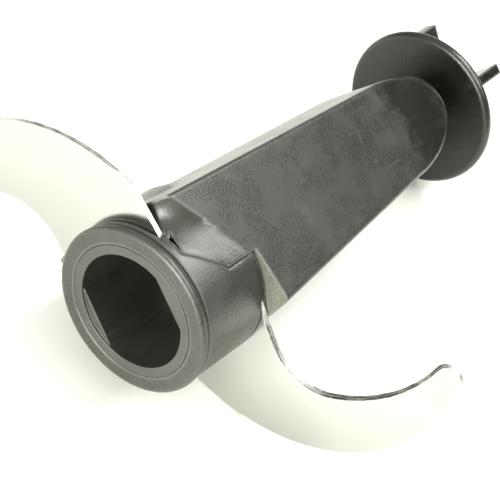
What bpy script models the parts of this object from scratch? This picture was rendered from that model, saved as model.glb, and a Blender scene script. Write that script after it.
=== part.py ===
"""Cutting blade of a food processor, built in metres.

A moulded black body clamps two curved steel wings at two levels and slides
over the drive spindle of the bowl. Its frame stands on the hub's end ring:
the origin is the middle of that ring, +Z runs up the spindle's axis and +X
is square to the flats of the drive bore.
"""

import math

import bmesh
import bpy
from mathutils import Matrix, Vector

# Drive socket, the sleeve with two flats
BORE_RADIUS = 0.01365
BORE_HALF_FLATS = 0.01160
SOCKET_WALL = 0.0022
SOCKET_SETBACK = 0.0004
SOCKET_FIT = 0.0003
LEDGE_DEPTH = 0.0006

# Spindle bore above the socket
SPINDLE_BORE_RADIUS = 0.0110
SPINDLE_BORE_ROOF = 0.0050

# Hub, the round lower shell
SHELL_WALL = 0.00355
RIM_STEP = 0.0003
RIM_HEIGHT = 0.0019
RIM_ROUNDING = 0.0008
GROOVE_WIDTH = 0.0008
GROOVE_DEPTH = 0.0006
BARREL_FLARE = 0.0005

# Stepped joint between the lower shell and the upper body
JOINT_GAP = 0.0003
LOW_JOINT_HEIGHT = 0.0047
HIGH_JOINT_HEIGHT = 0.0214
RAMP_START = -0.0052
RAMP_END = 0.0030
RAMP_TOP_HEIGHT = 0.0132

# Upper body, a tapered block with two flat faces
FACE_TURN = math.radians(-12.1)
FACE_STEP = 0.0007
FACE_TAPER = 0.055
FACE_HALF_WIDTH = 0.0164
FACE_WIDTH_TAPER = 0.060
SIDE_BULGE = 0.0028
EDGE_ROUNDING = 0.0010
ARCH_START = 0.0850
ARCH_HEIGHT = 0.0240
ARCH_STEPS = 10
NECK_RADIUS = 0.0086
NECK_LENGTH = 0.0090
SKIRT_CORNER_HEIGHT = 0.0081
SKIRT_RISE = 0.56
SKIRT_OVERLAP = 0.0003
SKIRT_MARGIN = 0.0015
BUMP_TAPER = 0.0030
BUMP_HEIGHT = 0.0130

# Disc and crossed bars on the far end
DISC_RADIUS = 0.0210
DISC_THICKNESS = 0.0028
DISC_EDGE_ROUNDING = 0.0012
CROSS_TURN = math.radians(-81.0)
CROSS_ANGLE = math.radians(76.0)
BAR_SETBACK = 0.0032
BAR_THICKNESS = 0.0027
BAR_HEIGHT = 0.0130

# Steel wings
WING_THICKNESS = 0.0012
WING_CLEARANCE = 0.0003
WING_SEAT_DEPTH = 0.0008
BACK_CENTRE = Vector((0.0274, 0.0024))
BACK_RADIUS = 0.0464
TIP_RADIUS = 0.0032
TIP_ANGLE = math.radians(46.3)
ROOT_EDGE_RADIUS = 0.0362
BACK_END_ANGLE = math.radians(150.0)
TANG_END_ANGLE = math.radians(138.5)
TANG_DEPTH = 0.0010
BEVEL_WIDTH = 0.0007
BEVEL_FADE = 0.0040
CUTTING_EDGE_THICKNESS = 0.0003

# Concave cutting edges: the belly's radius and direction from the back's centre, the wing's
# width there, where the belly ends and where the root starts
HIGH_EDGE = (0.0130, math.radians(87.6), 0.0140, math.radians(104.9), math.radians(30.0))
LOW_EDGE = (0.0161, math.radians(64.8), 0.0150, math.radians(95.0), math.radians(24.0))

# Facets of round shapes
ROUND_STEPS = 96
ARC_STEP = math.radians(6.0)
ROUNDING_STEPS = 4
TIP_STEPS = 12
SKIRT_STEPS = 20
SKIRT_RULE_STEPS = 6
WELD_DISTANCE = 0.000004
FLAT_LIMIT = math.radians(0.01)
WORK_SCALE = 1000.0
SHARP_ANGLE = math.radians(30.0)

# Sizes that follow from the ones above
SOCKET_OUTER = BORE_RADIUS + SOCKET_WALL
SOCKET_LENGTH = HIGH_JOINT_HEIGHT - SOCKET_SETBACK
POCKET_RADIUS = SOCKET_OUTER + SOCKET_FIT
BARREL_LOW_RADIUS = POCKET_RADIUS + SHELL_WALL
BARREL_TOP_RADIUS = BARREL_LOW_RADIUS + BARREL_FLARE
RIM_RADIUS = BARREL_LOW_RADIUS + RIM_STEP
SPINDLE_BORE_TOP = ARCH_START - SPINDLE_BORE_ROOF
FACE_DISTANCE = BARREL_TOP_RADIUS + FACE_STEP
TANG_INNER = POCKET_RADIUS + WING_CLEARANCE
LOW_WING_HEIGHT = LOW_JOINT_HEIGHT - WING_SEAT_DEPTH
HIGH_WING_HEIGHT = HIGH_JOINT_HEIGHT - WING_SEAT_DEPTH
DISC_UNDERSIDE = ARCH_START + ARCH_HEIGHT + NECK_LENGTH
BODY_TOP = DISC_UNDERSIDE + DISC_THICKNESS / 2
BAR_REACH = DISC_RADIUS - BAR_SETBACK
FAR = 0.2000


def clear_scene():
    for item in list(bpy.data.objects):
        bpy.data.objects.remove(item, do_unlink=True)


def plastic(name, colour, roughness):
    material = bpy.data.materials.new(name)
    material.use_nodes = True
    shader = material.node_tree.nodes["Principled BSDF"]
    shader.inputs["Base Color"].default_value = (*colour, 1.0)
    shader.inputs["Roughness"].default_value = roughness
    return material


def steel(name, colour, roughness):
    material = plastic(name, colour, roughness)
    shader = material.node_tree.nodes["Principled BSDF"]
    shader.inputs["Metallic"].default_value = 1.0
    return material


def link(name, mesh):
    thing = bpy.data.objects.new(name, mesh)
    bpy.context.scene.collection.objects.link(thing)
    return thing


def finish(bm, name):
    """Turn a bmesh into an object with its faces pointing out."""
    bmesh.ops.recalc_face_normals(bm, faces=bm.faces)
    mesh = bpy.data.meshes.new(name)
    bm.to_mesh(mesh)
    bm.free()
    return link(name, mesh)


def arc(centre, radius, start, end, count=None):
    """Points on an arc, both ends included."""
    count = count or max(1, math.ceil(abs(end - start) / ARC_STEP))
    points = []
    for i in range(count + 1):
        angle = start + (end - start) * i / count
        points.append(Vector(centre) + radius * Vector((math.cos(angle), math.sin(angle))))
    return points


def walled(name, levels):
    """Solid through closed loops with the same number of points each."""
    bm = bmesh.new()
    loops = [[bm.verts.new(p) for p in level] for level in levels]
    bm.faces.new(loops[0])
    bm.faces.new(loops[-1])
    for low, high in zip(loops, loops[1:]):
        for i in range(len(low)):
            j = (i + 1) % len(low)
            bm.faces.new((low[i], low[j], high[j], high[i]))
    return finish(bm, name)


def prism(name, outline, bottom, top):
    """Extrude a flat outline in X and Y from one height to another."""
    return walled(name, [[(p[0], p[1], z) for p in outline] for z in (bottom, top)])


def turned(name, profile, steps=ROUND_STEPS):
    """Revolve a closed profile of (radius, height) points about Z."""
    bm = bmesh.new()
    rings = []
    for radius, height in profile:
        if radius == 0.0:
            rings.append([bm.verts.new((0.0, 0.0, height))])
            continue
        ring = []
        for i in range(steps):
            angle = 2.0 * math.pi * i / steps
            ring.append(bm.verts.new((radius * math.cos(angle), radius * math.sin(angle), height)))
        rings.append(ring)
    for k in range(len(rings)):
        low, high = rings[k], rings[(k + 1) % len(rings)]
        if len(low) == 1 and len(high) == 1:
            continue
        for i in range(steps):
            j = (i + 1) % steps
            corners = [low[i % len(low)], low[j % len(low)], high[j % len(high)], high[i % len(high)]]
            bm.faces.new(list(dict.fromkeys(corners)))
    return finish(bm, name)


def combine(target, tool, operation):
    """Apply one Boolean, worked out at a larger scale where it is steadier, and drop the tool."""
    for thing in (target, tool):
        thing.data.transform(Matrix.Scale(WORK_SCALE, 4))
    modifier = target.modifiers.new("combine", "BOOLEAN")
    modifier.operation = operation
    modifier.object = tool
    modifier.solver = "EXACT"
    graph = bpy.context.evaluated_depsgraph_get()
    mesh = bpy.data.meshes.new_from_object(target.evaluated_get(graph))
    target.modifiers.remove(modifier)
    target.data = mesh
    bpy.data.objects.remove(tool, do_unlink=True)

    # Cuts leave points a hair apart where two edges cross, and faces that aren't quite flat.
    bm = bmesh.new()
    bm.from_mesh(mesh)
    bmesh.ops.remove_doubles(bm, verts=bm.verts, dist=WELD_DISTANCE * WORK_SCALE)
    bmesh.ops.dissolve_degenerate(bm, edges=bm.edges, dist=WELD_DISTANCE * WORK_SCALE)
    bmesh.ops.connect_verts_nonplanar(bm, faces=bm.faces, angle_limit=FLAT_LIMIT)
    bm.to_mesh(mesh)
    bm.free()
    mesh.transform(Matrix.Scale(1.0 / WORK_SCALE, 4))


def cut(target, tool):
    combine(target, tool, "DIFFERENCE")


def join(target, tool):
    combine(target, tool, "UNION")


def keep(target, tool):
    combine(target, tool, "INTERSECT")


def turn_to_face(thing):
    """Turn a shape built with the flat face along +X to the real face's side."""
    thing.data.transform(Matrix.Rotation(FACE_TURN, 4, "Z"))


def cross_section(height):
    """Outline of the tapered block at one height, face towards +X.

    Its sides run straight up to the arch and then close in like an ellipse.
    """
    depth = FACE_DISTANCE - FACE_TAPER * (height - HIGH_WING_HEIGHT)
    straight = min(height, ARCH_START) - HIGH_WING_HEIGHT
    share = math.sqrt(1.0 - max(0.0, (height - ARCH_START) / ARCH_HEIGHT) ** 2)
    width = (FACE_HALF_WIDTH - FACE_WIDTH_TAPER * straight) * share
    bulge = SIDE_BULGE * share
    rounding = min(EDGE_ROUNDING, width / 2)
    sweep = math.pi / 2 - math.atan2(bulge, depth)
    middle = (depth - rounding, width - rounding)
    corner = arc(middle, rounding, 0.0, sweep, ROUNDING_STEPS)
    back = [Vector((-p.x, p.y)) for p in reversed(corner)]
    half = corner + [Vector((0.0, width + bulge))] + back
    return half + [-p for p in half]


def tapered_block():
    """The block from below the low joint up to the crown of its arch."""
    heights = [LOW_JOINT_HEIGHT / 2]
    for i in range(ARCH_STEPS):
        heights.append(ARCH_START + ARCH_HEIGHT * math.sin(math.pi / 2 * i / ARCH_STEPS))
    levels = []
    for height in heights:
        levels.append([(p.x, p.y, height) for p in cross_section(height)])
    return walled("block", levels)


def joint_height(y):
    """Height of the stepped joint below the high step, along the flat face."""
    share = min(1.0, max(0.0, (y - RAMP_START) / (RAMP_END - RAMP_START)))
    return LOW_JOINT_HEIGHT + share * (RAMP_TOP_HEIGHT - LOW_JOINT_HEIGHT)


def under_skirt(side):
    """Wedge that trims the block below one face, from the low to the high wing.

    Its top is ruled from the joint on the hub's wall out to the face's slanted lower edge.
    """
    radius = BARREL_LOW_RADIUS - SKIRT_OVERLAP
    slices = []
    for i in range(SKIRT_STEPS + 1):
        y = -radius + (RAMP_END + radius) * i / SKIRT_STEPS
        wall = math.sqrt(max(0.0, radius ** 2 - y ** 2))
        foot = joint_height(y)
        edge_height = SKIRT_CORNER_HEIGHT + SKIRT_RISE * (y + FACE_HALF_WIDTH)
        slope = (edge_height - foot) / (FACE_DISTANCE - wall)
        run = FACE_DISTANCE + SKIRT_MARGIN - wall
        rule = [(wall + run * j / SKIRT_RULE_STEPS, foot + slope * run * j / SKIRT_RULE_STEPS)
                for j in range(SKIRT_RULE_STEPS + 1)]
        slices.append((y, [(-FAR, foot)] + rule + [(FAR, rule[-1][1])]))
    slices = [(-FAR, slices[0][1])] + slices + [(FAR, slices[-1][1])]
    levels = []
    for y, top in slices:
        closed = [(-FAR, -2 * FAR)] + top + [(FAR, -2 * FAR)]
        levels.append([(side * x, y, z) for x, z in closed])
    wedge = walled("wedge", levels)
    square = [(-FAR, -FAR), (FAR, -FAR), (FAR, FAR), (-FAR, FAR)]
    keep(wedge, prism("limit", square, -FAR, HIGH_JOINT_HEIGHT))
    return wedge


def below_joint(offset):
    """Everything below the stepped joint, its surface moved up by an offset."""
    outline = [
        (-FAR, -FAR),
        (-FAR, LOW_JOINT_HEIGHT + offset),
        (RAMP_START - offset / 2, LOW_JOINT_HEIGHT + offset),
        (RAMP_END - offset, RAMP_TOP_HEIGHT + offset / 2),
        (RAMP_END - offset, HIGH_JOINT_HEIGHT + offset),
        (FAR, HIGH_JOINT_HEIGHT + offset),
        (FAR, -FAR),
    ]
    shape = walled("below_joint", [[(x, y, z) for y, z in outline] for x in (-FAR, FAR)])
    turn_to_face(shape)
    return shape


def barrel(top_height, extra):
    """Round outer shape of the hub, with any further profile points on top."""
    radius = RIM_RADIUS - RIM_ROUNDING
    rounding = arc((radius, RIM_ROUNDING), RIM_ROUNDING, -math.pi / 2, 0.0, ROUNDING_STEPS)
    rounding += arc((radius, RIM_HEIGHT - RIM_ROUNDING), RIM_ROUNDING, 0.0, math.pi / 2, ROUNDING_STEPS)
    profile = [(0.0, 0.0)] + [tuple(p) for p in rounding]
    groove = BARREL_LOW_RADIUS - GROOVE_DEPTH
    profile.append((groove, RIM_HEIGHT))
    profile += [(groove, RIM_HEIGHT + GROOVE_WIDTH), (BARREL_LOW_RADIUS, RIM_HEIGHT + GROOVE_WIDTH)]
    profile += [(BARREL_TOP_RADIUS, top_height)] + extra
    profile.append((0.0, profile[-1][1]))
    return turned("barrel", profile)


def tang_corner(inset, start, end):
    """Where the tang's two straight sides meet once both are moved in by an inset."""
    half = (end - start) / 2
    middle = start + half
    reach = inset / math.sin(half)
    return Vector((math.cos(middle), math.sin(middle))) * reach


def wing_outline(edge, inset=0.0, bevel=0.0):
    """Wing seen from above: moved in by an inset, its cutting edge by a bevel too."""
    belly_radius, belly_angle, width, belly_end, root_start = edge
    way = Vector((math.cos(belly_angle), math.sin(belly_angle)))
    belly_centre = BACK_CENTRE + (BACK_RADIUS - width - belly_radius) * way
    tip = BACK_CENTRE + (BACK_RADIUS - TIP_RADIUS) * Vector((math.cos(TIP_ANGLE), math.sin(TIP_ANGLE)))

    # The sweep's circle runs on from the belly and touches the tip's circle.
    way = Vector((math.cos(belly_end), math.sin(belly_end)))
    reach = tip - belly_centre
    along = reach.dot(way)
    sweep_radius = reach.length_squared - 2 * belly_radius * along + belly_radius ** 2 - TIP_RADIUS ** 2
    sweep_radius /= 2 * (TIP_RADIUS + belly_radius - along)
    sweep_centre = belly_centre - (sweep_radius - belly_radius) * way
    to_tip = tip - sweep_centre
    sweep_end = math.atan2(to_tip.y, to_tip.x)

    # The root's circle is cut by the tang's first side.
    root_centre = belly_centre + Vector((ROOT_EDGE_RADIUS - belly_radius, 0.0))
    corner = tang_corner(inset, root_start, TANG_END_ANGLE)
    side = Vector((math.cos(root_start), math.sin(root_start)))
    offset = root_centre - corner
    middle = offset.dot(side)
    root_radius = ROOT_EDGE_RADIUS + inset
    step = middle - math.sqrt(middle ** 2 - offset.length_squared + root_radius ** 2)
    entry = corner + step * side - root_centre
    root_angle = math.atan2(entry.y, entry.x) % (2 * math.pi)

    points = []
    length = 0.0
    parts = ((root_centre, root_radius, root_angle, math.pi),
             (belly_centre, belly_radius + inset, math.pi, belly_end),
             (sweep_centre, sweep_radius + inset, belly_end, sweep_end))
    for centre, radius, start, end in parts:
        for p in arc(centre, radius, start, end)[1 if points else 0:]:
            if points:
                length += (p - points[-1][0]).length
            points.append((p, (p - centre).normalized(), min(1.0, length / BEVEL_FADE)))
    rim = arc(tip, TIP_RADIUS - inset, sweep_end - math.pi, TIP_ANGLE, TIP_STEPS)[1:]
    for i, p in enumerate(rim):
        points.append((p, (tip - p).normalized(), max(0.0, 1.0 - 2.0 * i / len(rim))))
    outline = [corner] + [p + inward * bevel * share for p, inward, share in points]
    mouth = corner + (RIM_RADIUS - TANG_DEPTH) * Vector((math.cos(TANG_END_ANGLE), math.sin(TANG_END_ANGLE)))
    return outline + arc(BACK_CENTRE, BACK_RADIUS - inset, TIP_ANGLE, BACK_END_ANGLE)[1:] + [mouth]


def wing_core(radius):
    """Plug that removes the middle of a tang, where the socket passes."""
    return turned("core", [(0.0, -FAR), (radius, -FAR), (radius, FAR), (0.0, FAR)])


def place_wing(thing, height, turned_round):
    if turned_round:
        thing.data.transform(Matrix.Rotation(math.pi, 4, "Z"))
    thing.data.transform(Matrix.Translation((0.0, 0.0, height)))


def wing(name, edge, height, turned_round):
    """Flat steel wing with a bevel ground along its cutting edge, facing down."""
    shoulder_height = WING_THICKNESS - CUTTING_EDGE_THICKNESS
    levels = []
    for z, bevel in ((0.0, BEVEL_WIDTH), (shoulder_height, 0.0), (WING_THICKNESS, 0.0)):
        levels.append([(p.x, p.y, z) for p in wing_outline(edge, 0.0, bevel)])
    blade = walled(name, levels)
    cut(blade, wing_core(TANG_INNER))
    place_wing(blade, height, turned_round)
    return blade


def wing_seat(edge, height, turned_round):
    """Pocket that takes a wing's tang with clearance all round."""
    outline = wing_outline(edge, -WING_CLEARANCE)
    seat = prism("seat", outline, -WING_CLEARANCE, WING_THICKNESS + WING_CLEARANCE)
    cut(seat, wing_core(POCKET_RADIUS - WING_CLEARANCE))
    place_wing(seat, height, turned_round)
    return seat


def cut_seats(target):
    cut(target, wing_seat(LOW_EDGE, LOW_WING_HEIGHT, True))
    cut(target, wing_seat(HIGH_EDGE, HIGH_WING_HEIGHT, False))


def plug(radius, bottom, top):
    return turned("plug", [(0.0, bottom), (radius, bottom), (radius, top), (0.0, top)])


def lower_shell():
    """Round shell round the socket, stepped so that each wing lies on it."""
    shell = barrel(HIGH_JOINT_HEIGHT + JOINT_GAP, [])
    keep(shell, below_joint(-JOINT_GAP / 2))
    cut(shell, plug(POCKET_RADIUS, -FAR, FAR))
    cut_seats(shell)
    shell.name = "lower_shell"
    return shell


def drive_socket():
    """Sleeve with two flats, its ledges set back from the end ring."""
    sleeve = turned("drive_socket", [(0.0, 0.0), (SOCKET_OUTER, 0.0), (SOCKET_OUTER, SOCKET_LENGTH),
                                     (0.0, SOCKET_LENGTH)])
    cut(sleeve, plug(BORE_RADIUS, -FAR, LEDGE_DEPTH))
    bore = plug(BORE_RADIUS, -FAR, FAR)
    strip = [(-BORE_HALF_FLATS, -FAR), (BORE_HALF_FLATS, -FAR), (BORE_HALF_FLATS, FAR),
             (-BORE_HALF_FLATS, FAR)]
    keep(bore, prism("strip", strip, -2 * FAR, 2 * FAR))
    cut(sleeve, bore)
    return sleeve


def end_disc():
    """Disc on the far end, with both of its edges rounded."""
    radius = DISC_RADIUS - DISC_EDGE_ROUNDING
    bottom = DISC_UNDERSIDE + DISC_EDGE_ROUNDING
    low = arc((radius, bottom), DISC_EDGE_ROUNDING, -math.pi / 2, 0.0, ROUNDING_STEPS)
    top = DISC_UNDERSIDE + DISC_THICKNESS
    high = arc((radius, top - DISC_EDGE_ROUNDING), DISC_EDGE_ROUNDING, 0.0, math.pi / 2, ROUNDING_STEPS)
    profile = [(0.0, DISC_UNDERSIDE)] + [tuple(p) for p in low + high] + [(0.0, top)]
    return turned("disc", profile)


def crossed_bars():
    """Two upright bars that cross in the middle of the disc."""
    half = BAR_THICKNESS / 2
    outline = []
    turn = CROSS_TURN
    for step in (CROSS_ANGLE, math.pi - CROSS_ANGLE) * 2:
        arm = Vector((math.cos(turn), math.sin(turn)))
        left = Vector((-arm.y, arm.x))
        turn += step
        next_arm = Vector((math.cos(turn), math.sin(turn)))
        inner_corner = half / math.sin(step) * (arm + next_arm)
        outline += [BAR_REACH * arm - half * left, BAR_REACH * arm + half * left, inner_corner]
    return prism("bars", outline, BODY_TOP, DISC_UNDERSIDE + DISC_THICKNESS + BAR_HEIGHT)


def upper_body():
    """Tapered block over the hub, with its arched far end, neck, disc and crossed bars."""
    body = tapered_block()
    for side in (1, -1):
        cut(body, under_skirt(side))
    turn_to_face(body)
    join(body, barrel(HIGH_JOINT_HEIGHT, [(BARREL_TOP_RADIUS - BUMP_TAPER, HIGH_JOINT_HEIGHT + BUMP_HEIGHT)]))
    cut(body, below_joint(JOINT_GAP / 2))
    cut(body, plug(POCKET_RADIUS, -FAR, SOCKET_LENGTH + JOINT_GAP))
    cut_seats(body)
    join(body, plug(NECK_RADIUS, ARCH_START, BODY_TOP))
    join(body, end_disc())
    join(body, crossed_bars())
    cut(body, plug(SPINDLE_BORE_RADIUS, 0.0, SPINDLE_BORE_TOP))
    body.name = "upper_body"
    return body


def dress(thing, material):
    thing.data.materials.clear()
    thing.data.materials.append(material)
    thing.data.shade_smooth()
    thing.data.set_sharp_from_angle(angle=SHARP_ANGLE)


def main():
    clear_scene()
    black = plastic("black_plastic", (0.060, 0.062, 0.055), 0.42)
    insert = plastic("socket_plastic", (0.070, 0.072, 0.064), 0.48)
    blade_steel = steel("blade_steel", (0.80, 0.80, 0.77), 0.22)
    dress(lower_shell(), black)
    dress(upper_body(), black)
    dress(drive_socket(), insert)
    dress(wing("low_wing", LOW_EDGE, LOW_WING_HEIGHT, True), blade_steel)
    dress(wing("high_wing", HIGH_EDGE, HIGH_WING_HEIGHT, False), blade_steel)


if __name__ == "__main__":
    main()
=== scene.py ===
"""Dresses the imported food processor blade: moulded black body, polished wings, pale studio.

Laid out as an add-on and run as a script. Lengths are in metres and every piece is made
in the part's own frame, with +Z along the spindle.
"""

import math
import random

import bmesh
import bpy
from mathutils import Matrix, Vector


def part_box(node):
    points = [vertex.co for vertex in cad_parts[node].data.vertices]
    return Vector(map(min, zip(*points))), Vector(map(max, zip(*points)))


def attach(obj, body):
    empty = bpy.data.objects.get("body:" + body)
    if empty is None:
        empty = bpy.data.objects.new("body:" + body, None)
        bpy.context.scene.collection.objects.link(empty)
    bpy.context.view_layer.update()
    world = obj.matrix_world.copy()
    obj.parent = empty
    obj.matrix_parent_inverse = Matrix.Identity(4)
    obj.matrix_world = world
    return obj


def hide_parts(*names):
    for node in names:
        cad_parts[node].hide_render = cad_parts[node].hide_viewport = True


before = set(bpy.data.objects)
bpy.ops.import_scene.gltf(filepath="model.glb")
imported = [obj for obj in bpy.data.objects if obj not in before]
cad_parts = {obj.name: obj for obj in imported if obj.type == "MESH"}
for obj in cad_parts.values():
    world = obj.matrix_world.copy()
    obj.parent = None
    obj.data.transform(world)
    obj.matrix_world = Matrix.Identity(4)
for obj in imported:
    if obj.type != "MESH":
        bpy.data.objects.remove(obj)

bl_info = {
    "name": "Food Processor Blade Dresser",
    "version": (1, 0, 0),
    "blender": (4, 5, 0),
    "location": "View3D > Sidebar > Blade",
    "description": "Gives a two-level cutting blade its mouldings, steel, edge details and studio",
    "category": "Object",
}

BODY = "root"

# The fitted camera: where it stands, and its right, up and back directions
CAMERA_PLACE = (0.26696, -0.07852, -0.22249)
CAMERA_RIGHT = Vector((0.70423, 0.39451, 0.59027))
CAMERA_UP = Vector((0.14272, -0.89309, 0.42663))
CAMERA_BACK = Vector((0.69548, -0.21620, -0.68525))
CAMERA_LENS = 119.25
CAMERA_CLIP_START = 0.01

# The table touches the low wing's tip, the high wing's heel and the disc's edge.
TABLE_UP = Vector((0.7830, -0.6190, -0.0550)).normalized()
TABLE_DISTANCE = 0.0277
TABLE_HALF_WIDTH = 2.0

# Corners of a square, in order round it
SQUARE = ((-1, -1), (1, -1), (1, 1), (-1, 1))

# Plastic finishes: colour setting, factor on it, share of the speckle, roughness, edge radius.
# After them the height of the speckle, the tint of the edges, which is partly wear and partly a painted
# highlight of their rounding, and the tint of dust.
PLASTICS = {
    "satin_black_plastic": ("body_colour", 1.0, 1.0, 0.22, 0.0011),
    # Painted reflection: the block's underside is made pale to stand for light from the table.
    "rubbed_plastic": ("body_colour", 5.5, 0.5, 0.20, 0.0003),
    # Slivers: pale for stress whitening and partly a painted reflection of their gloss.
    "torn_plastic": ("body_colour", 5.0, 1.0, 0.15, 0.00002),
    "flash_plastic": ("body_colour", 1.3, 1.0, 0.22, 0.00003),
    "socket_black_plastic": ("socket_colour", 1.0, 0.6, 0.30, 0.0003),
}
SPECKLE_HEIGHT = 0.00010
EDGE_WEAR_AND_HIGHLIGHT_TINT = (0.26, 0.26, 0.235)
DUST_TINT = (0.42, 0.42, 0.38)

# Height above which the body's colour is painted darker, as shade towards the disc
PAINTED_SHADE_HEIGHT = 0.088

# Clean-up of the copies: how near vertices become one, first as the frame has them and then
# after the edges are rounded, and how level faces become one
MERGE_DISTANCE = 0.000002
SLIVER_DISTANCE = 0.0000001
LEVEL_ANGLE = math.radians(0.3)

# Edges that turn less stay smooth in shading, and edges that turn more get rounded
SMOOTH_ANGLE = math.radians(28.0)
ROUNDED_ANGLE = math.radians(35.0)

# The exact Boolean works on meshes enlarged by this, as metres are too coarse for it
BOOLEAN_SCALE = 1000.0

# Joint between the mouldings, as the frame has it, and the steps of its flash on each side
JOINT_TURN = math.radians(-12.1)
LOW_JOINT = 0.0047
HIGH_JOINT = 0.0214
RAMP_FOOT = -0.0052
RAMP_TOP = 0.0030
RAMP_TOP_HEIGHT = 0.0132
HUB_RADIUS = 0.01970
HUB_FLARE = 0.00050
JOINT_STEPS = 60

# Back edge of the wings, a circle in the high wing's own plan, and the middle of its tip
BACK_CENTRE = Vector((0.0274, 0.0024))
BACK_RADIUS = 0.0464
TIP_PLACE = (0.0572, 0.0336, 0.0)
BRUSH_TURN = math.radians(-29.3)

# Cutting edge in the same plan: the spot it curves round, how far it starts from the spindle and
# keeps from the back edge, the height of its burr over the wing's lower face, and how near the
# upper face its vertices are
CUTTING_MIDDLE = Vector((0.031, 0.020))
CUTTING_START = 0.0215
CUTTING_MARGIN = 0.0030
BURR_HEIGHT = 0.00095
LEVEL_TOLERANCE = 0.00001

# Faces of a wing that count as ground have a smaller upright part of their normal than this, and
# the block's underside points down more than this and lies this near the high joint.
GROUND_UPRIGHT = 0.95
UNDERSIDE_UPRIGHT = -0.9
UNDERSIDE_REACH = 0.0006

# Gap round the drive socket, seen on the hub's end
SOCKET_GAP_RADIUS = 0.0160
SOCKET_GAP_DEPTH = 0.0003
SOCKET_GAP_STEPS = 120

# Where the hub shines most in the photograph
SHINE_SPOT = Vector((0.0188, -0.0082, 0.0106))

# Fine raised scratch across the flat face
SCRATCH_POINTS = ((0.0160, -0.0114, 0.0729), (0.0165, -0.0092, 0.0729), (0.0170, -0.0068, 0.0722),
                  (0.0175, -0.0049, 0.0715), (0.0178, -0.0033, 0.0708))
SCRATCH_RADIUS = 0.00006

# Mouth of the low wing's slot: angle about the spindle and height of its three corners
NOTCH_CORNERS = ((-42.3, 0.0066), (-38.0, 0.0043), (-29.0, 0.0051))
NOTCH_FLOOR = 0.0173
NOTCH_REACH = 1.2 * HUB_RADIUS

# Torn places on the hub's wall: range along the flat face and range of heights
CORNER_CHIPS = ((RAMP_TOP - 0.0006, RAMP_TOP + 0.0030), (0.0176, 0.0212))
RAMP_CHIPS = ((RAMP_TOP - 0.0034, RAMP_TOP + 0.0010), (0.0110, 0.0178))
RAMP_CHIP_DENSITY = 900000.0
PATCH_STEPS = 6

# Slivers at the slot's mouth: ranges of angle in degrees, of height, of length, of the way they
# point (outward, round the hub, up) and of their twist, how deep the foot sits in the wall, how
# far the end leans out, half width and half thickness, and the share of both left at the tip
SLIVER_COUNT = 9
SLIVER_ANGLES = (-44.0, -40.0)
SLIVER_HEIGHTS = (0.0046, 0.0064)
SLIVER_LENGTHS = (0.0006, 0.0014)
SLIVER_WAYS = ((0.0, 0.9), (-0.24, 0.96), (-0.8, 0.8))
SLIVER_TWISTS = (0.0, 0.5)
SLIVER_SINK = 0.0003
SLIVER_LEAN = 0.0004
SLIVER_HALF_WIDTH = 0.00020
SLIVER_HALF_THICKNESS = 0.00009
SLIVER_TIP = 0.45

# The room: its colour, its share of light at the horizon, and its dark side with its share
ROOM_COLOUR = (1.0, 1.0, 0.95, 1.0)
HORIZON_SHARE = 0.45
DARK_SIDE = (0.57, 0.76, 0.31)
DARK_SHARE = 0.12

# Soft lights: name, offset from the target, size, power setting and share of it, colour, target.
# Offsets, like the dark side, are given along the table's right, forward and up axes.
BLADE_MIDDLE = Vector((0.0, 0.0, 0.05))
LIGHTS = (
    ("key", (0.276, 0.129, 0.574), 0.53, "key_power", 1.0, (1.0, 1.0, 0.95), BLADE_MIDDLE),
    ("hub_glint", (0.208, 0.384, 0.488), 0.15, "glint_power", 1.0, (1.0, 1.0, 0.95), SHINE_SPOT),
    ("skirt_glint", (0.450, 0.085, 0.462), 0.15, "glint_power", 0.5, (1.0, 1.0, 0.95), SHINE_SPOT),
    ("front", (-0.22, -0.55, 0.12), 0.35, "front_power", 1.0, (1.0, 1.0, 0.94), BLADE_MIDDLE),
)


# Settings


class MouldingSettings(bpy.types.PropertyGroup):
    body_colour: bpy.props.FloatVectorProperty(
        name="Body colour", description="Base colour of the black mouldings",
        subtype="COLOR", size=3, min=0.0, max=1.0, default=(0.023, 0.024, 0.0195))
    socket_colour: bpy.props.FloatVectorProperty(
        name="Socket colour", description="Base colour of the drive socket",
        subtype="COLOR", size=3, min=0.0, max=1.0, default=(0.032, 0.033, 0.0275))
    edge_rounding: bpy.props.FloatProperty(
        name="Edge rounding", description="Width of the softened edges of the mouldings",
        subtype="DISTANCE", unit="LENGTH", min=0.0, default=0.00016)
    speckle: bpy.props.FloatProperty(
        name="Speckle", description="Depth of the fine mould texture on the body",
        subtype="FACTOR", min=0.0, max=1.0, default=0.6)


class SteelSettings(bpy.types.PropertyGroup):
    colour: bpy.props.FloatVectorProperty(
        name="Steel colour", description="Base colour of the wings",
        subtype="COLOR", size=3, min=0.0, max=1.0, default=(0.53, 0.53, 0.51))
    edge_rounding: bpy.props.FloatProperty(
        name="Edge rounding", description="Width of the broken edges of the wings",
        subtype="DISTANCE", unit="LENGTH", min=0.0, default=0.00006)
    roughness: bpy.props.FloatProperty(
        name="Roughness", description="How dull the polish of the wings is",
        subtype="FACTOR", min=0.0, max=1.0, default=0.20)


class TrimSettings(bpy.types.PropertyGroup):
    burr_radius: bpy.props.FloatProperty(
        name="Burr radius", description="Radius of the wire edge left by grinding",
        subtype="DISTANCE", unit="LENGTH", min=0.0, default=0.00007)
    flash_radius: bpy.props.FloatProperty(
        name="Flash radius", description="Radius of the moulding flash along the joint",
        subtype="DISTANCE", unit="LENGTH", min=0.0, default=0.00016)
    ripple: bpy.props.FloatProperty(
        name="Ripple", description="How uneven burr and flash are",
        subtype="FACTOR", min=0.0, max=1.0, default=0.6)
    seed: bpy.props.IntProperty(
        name="Seed", description="Fixed seed of the ripple", min=0, default=7)


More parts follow.
